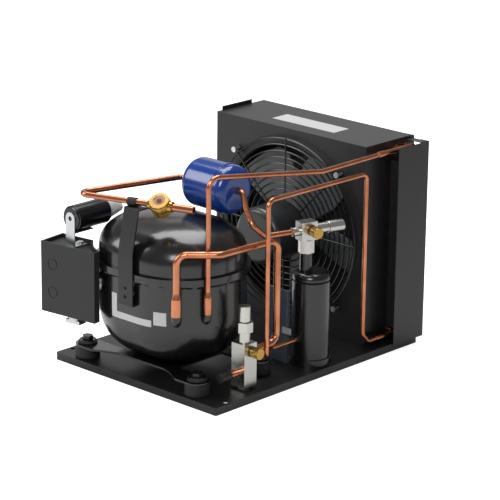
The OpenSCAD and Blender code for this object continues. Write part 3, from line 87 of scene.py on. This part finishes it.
# Each lamp: place, the point that it is turned to, its two sides and its power in watts
lamps = {
    "key_lamp": ((-1.9, -1.2, 1.5), (0, 0, 0.1), (0.9, 0.9), 25),
    "left_lamp": ((-1.4, 1.5, 1.3), (0, 0, 0.1), (0.9, 1.2), 20),
    "top_lamp": ((0.35, 0.5, 2.2), (0, 0, 0), (1.6, 1.6), 46),
    "back_lamp": ((1.5, 1.4, 0.9), (0, 0, 0.2), (1.6, 0.9), 2.5),
}


def lamp(name, place, aim, size, power):
    """A soft rectangular lamp turned to the point aim."""
    data = bpy.data.lights.new(name, "AREA")
    data.shape = "RECTANGLE"
    data.size, data.size_y = size
    data.energy = power
    light = bpy.data.objects.new(name, data)
    bpy.context.scene.collection.objects.link(light)
    light.location = place
    light.rotation_euler = (Vector(aim) - Vector(place)).to_track_quat("-Z", "Y").to_euler()


def linear(code):
    """An sRGB hex colour as linear red, green, blue and alpha."""
    parts = [int(code[i:i + 2], 16)/255 for i in (1, 3, 5)]
    return [c/12.92 if c <= 0.04045 else ((c + 0.055)/1.055)**2.4 for c in parts] + [1.0]


def add_node(tree, kind, settings=(), links=()):
    """Adds a node; settings are (socket or attribute, value), links (socket, output)."""
    node = tree.nodes.new(kind)
    for key, value in settings:
        if isinstance(key, str) and hasattr(node, key) and key not in node.inputs:
            setattr(node, key, value)
        else:
            node.inputs[key].default_value = value
    for key, output in links:
        tree.links.new(output, node.inputs[key])
    return node


def set_studio():
    """Full white for what the camera sees straight or through glass, dimmer light on the part."""
    scene = bpy.context.scene
    scene.view_settings.view_transform = "Standard"
    world = bpy.data.worlds.new("studio_world")
    scene.world = world
    world.use_nodes = True
    tree = world.node_tree
    tree.nodes.clear()
    path = add_node(tree, "ShaderNodeLightPath")
    seen = add_node(tree, "ShaderNodeMath", [("operation", "MAXIMUM")],
                    [(0, path.outputs["Is Camera Ray"]), (1, path.outputs["Is Transmission Ray"])])
    strength = add_node(tree, "ShaderNodeMapRange", [("To Min", world_light), ("To Max", 1.0)],
                        [("Value", seen.outputs[0])])
    sky = add_node(tree, "ShaderNodeBackground", [("Color", linear(white))],
                   [("Strength", strength.outputs[0])])
    add_node(tree, "ShaderNodeOutputWorld", (), [("Surface", sky.outputs[0])])
    floor = primitive("floor", bpy.ops.mesh.primitive_plane_add, size=floor_size)
    floor.data.materials.append(floor_paper())
    for name, (place, aim, size, power) in lamps.items():
        lamp(name, place, aim, size, power)


def floor_paper():
    """White studio paper: matt, seen pure white by the camera but for the object's shadow."""
    material, tree, shader = start_material("white_studio_paper", "#f4f4f4", 0.9)
    path = add_node(tree, "ShaderNodeLightPath")
    glow = add_node(tree, "ShaderNodeEmission",
                    [("Color", linear(white)), ("Strength", floor_glow)])
    both = add_node(tree, "ShaderNodeAddShader", (),
                    [(0, shader.outputs[0]), (1, glow.outputs[0])])
    shown = add_node(tree, "ShaderNodeMixShader", (), [(0, path.outputs["Is Camera Ray"]),
                     (1, shader.outputs[0]), (2, both.outputs[0])])
    tree.links.new(shown.outputs[0], tree.nodes["Material Output"].inputs["Surface"])
    return material


def deselect():
    if bpy.context.object and bpy.context.object.mode != "OBJECT":
        bpy.ops.object.mode_set(mode="OBJECT")
    bpy.ops.object.select_all(action="DESELECT")


def primitive(name, operator, **sizes):
    """A new primitive at its size and place, to be shaped further."""
    deselect()
    operator(**sizes)
    piece = bpy.context.object
    piece.name = name
    return piece


# Materials
def start_material(name, colour, roughness, metallic=0.0, **sockets):
    """A new material; each socket's name is written with _ where the shader has a space."""
    material = bpy.data.materials.new(name)
    material.use_nodes = True
    tree = material.node_tree
    shader = tree.nodes["Principled BSDF"]
    shader.inputs["Base Color"].default_value = linear(colour)
    shader.inputs["Roughness"].default_value = roughness
    shader.inputs["Metallic"].default_value = metallic
    for key, value in sockets.items():
        shader.inputs[key.replace("_", " ")].default_value = value
    return material, tree, shader


def grain(tree, shader, size_mm, height_mm, strength=1.0, detail=2.0):
    """Bump from noise whose blobs are size_mm across and height_mm high."""
    place = add_node(tree, "ShaderNodeTexCoord")
    noise = add_node(tree, "ShaderNodeTexNoise",
                     [("Scale", 1/(size_mm*MM)), ("Detail", detail)],
                     [("Vector", place.outputs["Object"])])
    bump = add_node(tree, "ShaderNodeBump", [("Strength", strength), ("Distance", height_mm*MM)],
                    [("Height", noise.outputs["Fac"])])
    tree.links.new(bump.outputs[0], shader.inputs["Normal"])
    return noise


def mottle(tree, shader, noise, dark, light):
    """The surface's colour wanders between two shades with the noise."""
    ramp = add_node(tree, "ShaderNodeMix", [("data_type", "RGBA")],
                    [(0, noise.outputs["Fac"])])
    ramp.inputs[6].default_value = linear(dark)
    ramp.inputs[7].default_value = linear(light)
    tree.links.new(ramp.outputs[2], shader.inputs["Base Color"])


def powder_coat(name, colour, roughness):
    """Black powder coat on sheet steel: satin, with fine orange peel."""
    material, tree, shader = start_material(name, colour, roughness)
    grain(tree, shader, size_mm=1.6, height_mm=0.02)
    return material


def enamel(name, colour, roughness):
    """Sprayed gloss enamel: smooth and wet-looking under a clear top layer."""
    material, tree, shader = start_material(name, colour, roughness, Coat_Weight=0.35,
                                            Coat_Roughness=0.12)
    grain(tree, shader, size_mm=6, height_mm=0.02, strength=0.6)
    return material


def moulded(name, colour, roughness):
    """Moulded plastic or rubber, and paper: even colour, dull from a fine even tooth."""
    material, tree, shader = start_material(name, colour, roughness)
    grain(tree, shader, size_mm=0.8, height_mm=0.015)
    return material


def plated(name, colour, roughness, metallic=1.0):
    """Plated or bare metal: mirror-like layer blurred by its blasted or drawn base."""
    material, tree, shader = start_material(name, colour, roughness, metallic)
    grain(tree, shader, size_mm=2.2, height_mm=0.01, strength=0.5)
    return material


def copper_tube():
    """Drawn copper tube: orange-pink, bright, with browner patches where it was heated."""
    material, tree, shader = start_material("drawn_copper", "#c47a52", 0.26, 1.0)
    noise = grain(tree, shader, size_mm=28, height_mm=0.015, strength=0.4, detail=4.0)
    mottle(tree, shader, noise, "#94533a", "#e39a74")
    return material


def clear_glass():
    """Pressed and polished glass: clear, with a faint green tint."""
    return start_material("sight_glass", "#cfe0cf", 0.05, IOR=1.5, Transmission_Weight=0.6)[0]


def milky_vinyl():
    """Dipped soft vinyl: milky and half see-through."""
    return start_material("milky_vinyl", "#dfe2e2", 0.35, IOR=1.45, Transmission_Weight=0.55)[0]


# Every material slot of the record and the real finish that it stands for
finishes = {
    "tray_black": powder_coat("black_powder_coat_tray", "#0c0c0d", 0.4),
    "shell_black": enamel("black_enamel_shell", "#0f0f10", 0.24),
    "sheet_black": powder_coat("black_powder_coat_sheet", "#121213", 0.42),
    "box_plastic": moulded("charcoal_abs_box", "#1b1b1c", 0.55),
    "dark_plastic": moulded("black_nylon", "#121212", 0.45),
    "capacitor_case": moulded("black_phenolic_case", "#0c0c0d", 0.22),
    "rubber": moulded("black_rubber", "#141414", 0.65),
    "boot_clear": milky_vinyl(),
    "zinc_plate": plated("white_zinc_plate", "#c4c7c9", 0.28, 0.95),
    "galvanised": plated("galvanised_sheet", "#7f8d99", 0.42, 0.75),
    "black_steel": powder_coat("black_steel_wire", "#111112", 0.22),
    "nickel_plate": plated("nickel_plate", "#c2c1bb", 0.26, 1.0),
    "copper": copper_tube(),
    "brass": plated("machined_brass", "#b8914e", 0.26, 1.0),
    "glass": clear_glass(),
    "drier_blue": enamel("blue_enamel", "#063480", 0.2),
    "desiccant": moulded("desiccant_block", "#d8cdb0", 0.9),
    "fan_plastic": moulded("grey_fan_plastic", "#6c6e70", 0.45),
    "motor_paint": enamel("charcoal_motor_paint", "#1f2022", 0.42),
    "steel": plated("ground_steel", "#a6a8ab", 0.35),
    "winding": plated("enamelled_wire", "#a05a32", 0.4, 0.8),
    "iron": plated("machined_cast_iron", "#6a6b6d", 0.55, 0.9),
    "fin_aluminium": plated("fin_aluminium", "#8c8f92", 0.45, 0.9),
}
paper = moulded("bare_white_paper", "#b4b5b4", 0.6)

slot_of = {row["node"]: row["material_slot"] for row in frame["record"]["subparts"]}
body_of = {node: body for body, members in frame["record"]["behaviour"]["bodies"].items()
           for node in members}
tray_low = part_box("base_tray")[0]

# Values that all pieces share: angles in degrees, merging distances in millimetres
sharp_angle = 38
flat_angle = 1.0
cad_merge = 0.002
turned_merge = 0.01
normal_weight = 80


def at(x, y, z):
    """A place in the object's frame from millimetres off the tray's near-left corner."""
    return Vector((tray_low[0] + x*MM, tray_low[1] + y*MM, z*MM))


def edit(piece):
    """Opens the piece in edit mode with all of it selected."""
    deselect()
    piece.select_set(True)
    bpy.context.view_layer.objects.active = piece
    bpy.ops.object.mode_set(mode="EDIT")
    bpy.ops.mesh.select_all(action="SELECT")


def modify(piece, kind, **settings):
    """Adds a modifier with its settings and applies it."""
    deselect()
    piece.select_set(True)
    bpy.context.view_layer.objects.active = piece
    modifier = piece.modifiers.new(kind.lower(), kind)
    for key, value in settings.items():
        setattr(modifier, key, value)
    bpy.ops.object.modifier_apply(modifier=modifier.name)


def rounded(piece, width_mm):
    """Rounds the piece's sharp edges."""
    modify(piece, "BEVEL", width=width_mm*MM, segments=2, limit_method="ANGLE",
           angle_limit=radians(sharp_angle), harden_normals=False)


def settle(piece, body, slot, replaced=(), smooth=32):
    """Leaves the piece at the origin, dressed and riding on its body, its curves smooth."""
    deselect()
    piece.select_set(True)
    bpy.context.view_layer.objects.active = piece
    bpy.ops.object.transform_apply(location=True, rotation=True, scale=True)
    bpy.ops.object.shade_smooth_by_angle(angle=radians(smooth))
    modify(piece, "WEIGHTED_NORMAL", keep_sharp=True, weight=normal_weight)
    piece.data.materials.clear()
    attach(piece, body)
    if slot:
        piece.data.materials.append(finishes[slot])
    if replaced:
        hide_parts(*replaced)


def joined(name, pieces):
    """Several pieces made one."""
    deselect()
    for piece in pieces:
        piece.select_set(True)
    bpy.context.view_layer.objects.active = pieces[0]
    bpy.ops.object.join()
    pieces[0].name = name
    return pieces[0]


def softened(name, width_mm):
    """The CAD node's own shape with its edges rounded and its curves smooth."""
    deselect()
    nodes[name].select_set(True)
    bpy.context.view_layer.objects.active = nodes[name]
    bpy.ops.object.duplicate()
    piece = bpy.context.object
    piece.name = name + "_shape"
    edit(piece)
    bpy.ops.mesh.remove_doubles(threshold=cad_merge*MM)
    bpy.ops.mesh.dissolve_limited(angle_limit=radians(flat_angle))
    bpy.ops.object.mode_set(mode="OBJECT")
    if width_mm:
        rounded(piece, width_mm)
    settle(piece, body_of[name], slot_of[name], [name])


def turn_to(piece, direction, place):
    """Stands a piece that was drawn along Z at a place, along a direction."""
    spin = Vector(direction).to_track_quat("Z", "Y").to_matrix().to_4x4()
    piece.matrix_world = Matrix.Translation(place) @ spin


def bar(name, a, b, radius_mm, vertices=12):
    """A round bar from place a to place b."""
    along = b - a
    piece = primitive(name, bpy.ops.mesh.primitive_cylinder_add, vertices=vertices,
                      radius=radius_mm*MM, depth=along.length)
    turn_to(piece, along, (a + b)/2)
    return piece


def block(name, low, high, round_mm=0.0):
    """A box between two corners, with rounded edges."""
    piece = primitive(name, bpy.ops.mesh.primitive_cube_add, size=1, location=(low + high)/2)
    piece.scale = high - low
    bpy.ops.object.transform_apply(location=False, rotation=False, scale=True)
    if round_mm:
        rounded(piece, round_mm)
    return piece


# Fan guard: round wires on four feet
guard_low, guard_high = (Vector(c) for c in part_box("fan_guard"))
fan_middle = (guard_low + guard_high)/2
wire_r = 1.15
wire_sides = 8
guard_rings = 13
ring_steps = 72
guard_outer = 127.0
guard_inner = 20.0
guard_spokes = 8
spoke_over = 1
guard_feet = 4
foot_circle = 134.0
foot_r = 5
foot_t = 1.2
foot_sides = 24
leg_r = wire_r*1.3
leg_start_in = 1
leg_end_in = 3
leg_end_drop = 1


def fan_place(x, radius, angle):
    """A place round the fan's axis, radius in millimetres."""
    return Vector((x, fan_middle.y + radius*MM*cos(angle), fan_middle.z + radius*MM*sin(angle)))


def make_guard():
    wires = []
    ring_x = guard_low.x + 2*wire_r*MM
    spoke_x = ring_x - wire_r*MM
    for i in range(guard_rings):
        radius = guard_inner + i*(guard_outer - guard_inner)/(guard_rings - 1)
        wires.append(primitive("ring", bpy.ops.mesh.primitive_torus_add,
                               major_radius=radius*MM, minor_radius=wire_r*MM,
                               major_segments=ring_steps, minor_segments=wire_sides,
                               location=(ring_x, fan_middle.y, fan_middle.z),
                               rotation=(0, pi/2, 0)))
    for i in range(guard_spokes):
        angle = i*2*pi/guard_spokes
        wires.append(bar("spoke", fan_place(spoke_x, guard_inner - spoke_over, angle),
                         fan_place(spoke_x, guard_outer + spoke_over, angle), wire_r))
    settle(joined("fan_guard_wires", wires), "base", "black_steel", ["fan_guard"])
    feet = []
    for i in range(guard_feet):
        angle = (i + 0.5)*2*pi/guard_feet
        pad = primitive("pad", bpy.ops.mesh.primitive_cylinder_add, vertices=foot_sides,
                        radius=foot_r*MM, depth=foot_t*MM)
        middle = fan_place(guard_high.x - foot_t/2*MM, foot_circle, angle)
        pad.matrix_world = Matrix.Translation(middle) @ Matrix.Rotation(pi/2, 4, "Y")
        feet.append(pad)
        feet.append(bar("leg", fan_place(ring_x, guard_outer - leg_start_in, angle),
                        fan_place(guard_high.x - leg_end_drop*MM, foot_circle - leg_end_in,
                                  angle), leg_r))
    settle(joined("fan_guard_feet", feet), "base", "black_steel", ["fan_guard"])


# Condenser fins: thin sheets at their real spacing
fin_spacing = 2.1
fin_sheet = 0.25


def make_fins():
    """One thin sheet, repeated across the coil."""
    low, high = (Vector(c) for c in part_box("condenser_fins"))
    fin = block("condenser_fin_pack", low, Vector((high.x, low.y + fin_sheet*MM, high.z)))
    count = int((high.y - low.y)/(fin_spacing*MM))
    modify(fin, "ARRAY", count=count, use_relative_offset=False, use_constant_offset=True,
           constant_offset_displace=(0, (high.y - low.y - fin_sheet*MM)/(count - 1), 0))
    settle(fin, "base", "fin_aluminium", ["condenser_fins"])


def lathe(name, outline, steps=40):
    """A turned piece round Z: outline holds (radius, height) in mm from its foot to its top."""
    piece = primitive(name, bpy.ops.mesh.primitive_plane_add, size=MM)
    edit(piece)
    bpy.ops.mesh.merge(type="CENTER")
    bpy.ops.transform.translate(value=(outline[0][0]*MM, 0, outline[0][1]*MM))
    for before, after in zip(outline, outline[1:]):
        bpy.ops.mesh.extrude_vertices_move(TRANSFORM_OT_translate={
            "value": ((after[0] - before[0])*MM, 0, (after[1] - before[1])*MM)})
    bpy.ops.mesh.select_all(action="SELECT")
    bpy.ops.mesh.spin(steps=steps, angle=2*pi, center=(0, 0, 0), axis=(0, 0, 1))
    bpy.ops.mesh.select_all(action="SELECT")
    bpy.ops.mesh.remove_doubles(threshold=turned_merge*MM)
    bpy.ops.mesh.normals_make_consistent(inside=False)
    bpy.ops.object.mode_set(mode="OBJECT")
    return piece


# Sleeves of the compressor's lines: flared ends, pinched in to the tube above
# Outer radii of each line's tube and of its sleeve
sleeve_radii = {
    "suction_tube": (4.76, 6.8), "discharge_tube": (3.18, 5.2),
}
sleeve_low_z = 115.0
sleeve_top_z = 138.0
sleeve_taper = 9.0
sleeve_skin = 0.02
sleeve_foot_up = 1.0
neck_share = 0.6
neck_ease = 0.3
shoulder_in = 0.5
shoulder_up = 1.0
shoulder_drop = 1.5
stub_top_depth = 0.5


def stub_top(name):
    """The middle of a stub's upper end, from its mesh's highest points."""
    places = [nodes[name].matrix_world @ v.co for v in nodes[name].data.vertices]
    top = max(p.z for p in places)
    ring = [p for p in places if p.z > top - stub_top_depth*MM]
    low = Vector([min(p[i] for p in ring) for i in range(3)])
    high = Vector([max(p[i] for p in ring) for i in range(3)])
    return (low + high)/2


def make_sleeve_tapers():
    for tube, (tube_r, sleeve_r) in sleeve_radii.items():
        middle = stub_top(tube.replace("tube", "stub"))
        taper = lathe(tube + "_taper", [
            (tube_r, sleeve_top_z + sleeve_taper),
            (tube_r + neck_ease, sleeve_top_z + sleeve_taper*neck_share),
            (sleeve_r - shoulder_in, sleeve_top_z + shoulder_up),
            (sleeve_r + sleeve_skin, sleeve_top_z - shoulder_drop),
            (sleeve_r + sleeve_skin, sleeve_low_z + sleeve_foot_up)])
        taper.location = (middle.x, middle.y, 0)
        settle(taper, "base", "copper", smooth=60)


# Bare paper labels and a tag
label_lift = 0.25
# Across and up, low and high corners of the labels on the shell's near wall
shell_labels = {
    "shell_label_long": ((113, 92.5), (182, 101.5)),
    "shell_label_side": ((172.5, 101.6), (182, 125.5)),
    "shell_label_square": ((94, 96), (110, 114)),
}
near_wall_end = 40
near_wall_slope = -0.5
shroud_label_low = (335, 104)
shroud_label_high = (366, 218)
shroud_lip = 5.5
tag_t = 0.4
tag_out = 8.0
tag_low_z = 52.0
tag_h = 9.0


def cut_away(place, direction):
    """Bisects the mesh in edit mode and drops what lies ahead of the plane."""
    bpy.ops.mesh.select_all(action="SELECT")
    bpy.ops.mesh.bisect(plane_co=place, plane_no=direction, clear_outer=True)


def shell_label(name, low, high):
    """A label that lies on the shell's near wall: a lifted copy of that stretch of wall."""
    deselect()
    shell = bpy.data.objects["compressor_lower_shell_shape"]
    shell.select_set(True)
    bpy.context.view_layer.objects.active = shell
    bpy.ops.object.duplicate()
    piece = bpy.context.object
    piece.name = name
    edit(piece)
    near, far = at(0, low[0], low[1]), at(0, high[0], high[1])
    cut_away(near, (0, -1, 0))
    cut_away(near, (0, 0, -1))
    cut_away(far, (0, 1, 0))
    cut_away(far, (0, 0, 1))
    cut_away(at(near_wall_end, 0, 0), (1, 0, 0))
    bpy.ops.object.mode_set(mode="OBJECT")
    for face in piece.data.polygons:
        face.select = face.normal.x > near_wall_slope
    bpy.ops.object.mode_set(mode="EDIT")
    bpy.ops.mesh.delete(type="FACE")
    bpy.ops.object.mode_set(mode="OBJECT")
    modify(piece, "SOLIDIFY", thickness=label_lift*MM, offset=1)
    settle(piece, "base", None, smooth=40)
    piece.data.materials.append(paper)


def flat_label(name, low, high):
    """A bare sheet between two corners."""
    label = block(name, low, high)
    settle(label, "base", None)
    label.data.materials.append(paper)


def make_labels():
    for name, (low, high) in shell_labels.items():
        shell_label(name, low, high)
    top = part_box("fan_shroud")[1][2]/MM - shroud_lip
    flat_label("shroud_label", at(*shroud_label_low, top), at(*shroud_label_high, top + label_lift))
    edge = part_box("upright_bracket")[0]
    flat_label("line_tag", Vector((edge[0] - tag_t*MM, edge[1] - tag_out*MM, tag_low_z*MM)),
               Vector((edge[0], edge[1] + tag_out*MM, (tag_low_z + tag_h)*MM)))


# Side cover's fold
cover_fold = 13.0
cover_sheet = 1.2
fold_low_z = 34
fold_top_z = 268
fold_round = 0.3


def make_cover_fold():
    """The side cover's front edge is folded in towards the coil between the two headers."""
    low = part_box("condenser_side_cover")[0]
    start = Vector((low[0], low[1] + cover_sheet*MM, 0))
    fold = block("cover_fold", start + Vector((0, 0, fold_low_z*MM)),
                 start + Vector((cover_sheet, cover_fold, fold_top_z))*MM, fold_round)
    settle(fold, "base", "sheet_black")


# Sight glass: brass collar, bright ring, and a window with its dot
sight_direction = Vector((-0.5455, -0.1772, 0.8192))
# Radii and heights over the lens's middle, from foot to top
collar_outline = [(11, -11), (13.2, -10), (13.8, -8.5), (13.8, -1.5), (13.2, -0.5), (11, -0.3)]
collar_steps = 48
bezel_outline = [(8.2, -0.4), (12.6, -0.4), (12.6, 1.6), (11.8, 2.2), (9.0, 2.2), (8.2, 1.2),
                 (8.2, -0.4)]
bezel_sides = 8
# Each disc's radius, lift over the lens's middle and finish
window_discs = {
    "sight_glass_seat": (6.2, 1.3, "winding"), "sight_glass_dot": (3.4, 1.6, "dark_plastic"),
}
disc_t = 0.5
disc_sides = 32


def make_sight_ring():
    low, high = (Vector(c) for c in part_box("sight_glass_lens"))
    middle = (low + high)/2
    collar = lathe("sight_glass_collar", collar_outline, collar_steps)
    turn_to(collar, sight_direction, middle)
    settle(collar, "base", "brass", smooth=50)
    bezel = lathe("sight_glass_bezel", bezel_outline, bezel_sides)
    turn_to(bezel, sight_direction, middle)
    settle(bezel, "base", "zinc_plate", smooth=20)
    for name, (radius, lift, slot) in window_discs.items():
        disc = primitive(name, bpy.ops.mesh.primitive_cylinder_add, vertices=disc_sides,
                         radius=radius*MM, depth=disc_t*MM)
        turn_to(disc, sight_direction, middle + lift*MM*sight_direction)
        settle(disc, "base", slot, smooth=60)


# Copper sleeve of the suction valve's capped stub
stub_sleeve_end = 68.5
stub_sleeve_r = 5.5
stub_sleeve_sides = 32
stub_sleeve_round = 0.4


def make_stub_sleeve():
    """From the cap's inner end to the valve's body."""
    low, high = (Vector(c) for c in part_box("suction_stub_cap"))
    y, z = (low.y + high.y)/2, (low.z + high.z)/2
    end = at(stub_sleeve_end, 0, 0).x
    sleeve = bar("stub_sleeve", Vector((high.x, y, z)), Vector((end, y, z)), stub_sleeve_r,
                 stub_sleeve_sides)
    rounded(sleeve, stub_sleeve_round)
    settle(sleeve, "base", "copper", smooth=50)


# CAD nodes shown in their own shape, and how far each one's edges are rounded, in millimetres
plain_nodes = {
    "base_tray": 1.2, "compressor_grommets": 1.6, "compressor_bolts": 0.5,
    "compressor_feet": 0.6, "compressor_lower_shell": 0, "compressor_upper_shell": 0,
    "suction_stub": 0, "discharge_stub": 0, "electrical_box": 1.0, "cable_clamp": 0.6,
    "start_capacitor": 1.2, "capacitor_strap": 0.4, "capacitor_boot": 0.5,
    "sight_glass_bracket": 0.5, "tube_clip": 0.4, "sight_glass_body": 0.6,
    "sight_glass_lens": 0.3, "filter_drier": 0.4, "liquid_tube": 0, "drier_inlet_tube": 0,
    "receiver_tank": 0.5, "upright_bracket": 0.4, "receiver_valve_body": 0.8,
    "receiver_valve_nut": 0.7, "receiver_stem_cap": 0.8, "receiver_port_cap": 0.8,
    "suction_valve_body": 0.9, "suction_gland_nut": 0.7, "suction_stem_cap": 0.8,
    "suction_port_cap": 0.8, "suction_stub_cap": 0.8, "suction_tube": 0,
    "discharge_tube": 0, "condenser_outlet_tube": 0, "fan_shroud": 0.5, "fan_motor": 0.8,
    "condenser_end_plates": 0.3, "condenser_side_cover": 0.5, "sheet_screws": 0.5,
    "fan_blades": 0.4, "condenser_tubes": 0,
}


def dress_nodes():
    """Puts the real finish on every CAD node, those inside the shell too."""
    for name, node in nodes.items():
        for place in node.material_slots:
            place.material = finishes[slot_of[name]]


set_camera()
set_studio()
dress_nodes()
for node_name, edge_round in plain_nodes.items():
    softened(node_name, edge_round)
make_guard()
make_fins()
make_sleeve_tapers()
make_labels()
make_cover_fold()
make_sight_ring()
make_stub_sleeve()
